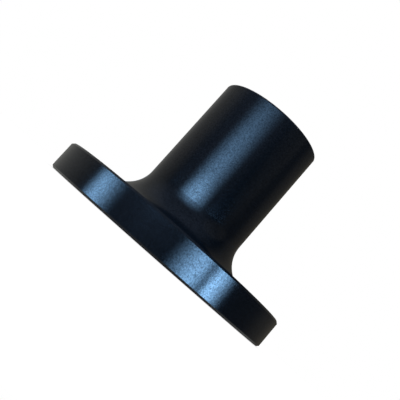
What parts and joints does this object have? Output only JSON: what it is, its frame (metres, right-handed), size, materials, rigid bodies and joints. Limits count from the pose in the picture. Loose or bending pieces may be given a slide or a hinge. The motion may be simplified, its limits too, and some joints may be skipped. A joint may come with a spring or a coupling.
{
  "type": "weld neck flange",
  "caption": "Flat-faced round steel flange with a drilled disc, a large concave root and a straight neck, butt-welded to a short length of plain-ended pipe.",
  "frame": {"origin": "centre of the gasket face, on the bore's axis", "axes": "+Z along the bore, from the gasket face towards the open end of the pipe; the +X and +Y axes run midway between two neighbouring bolt holes"},
  "size_m": [0.175, 0.175, 0.118],
  "materials": {
    "flange_steel": "satin black coating on machined forged steel",
    "pipe_steel": "satin black coating on steel pipe",
    "weld_cap": "satin black coating over weld metal ground flush",
    "weld_metal": "weld metal ground flush with the bore, under a thin dark coating"
  },
  "bodies": {
    "root": {"weld_neck_flange": "flange_steel", "weld_root_pass": "weld_metal", "weld_fill_passes": "weld_cap", "pipe_stub": "pipe_steel"}
  },
  "joints": []
}
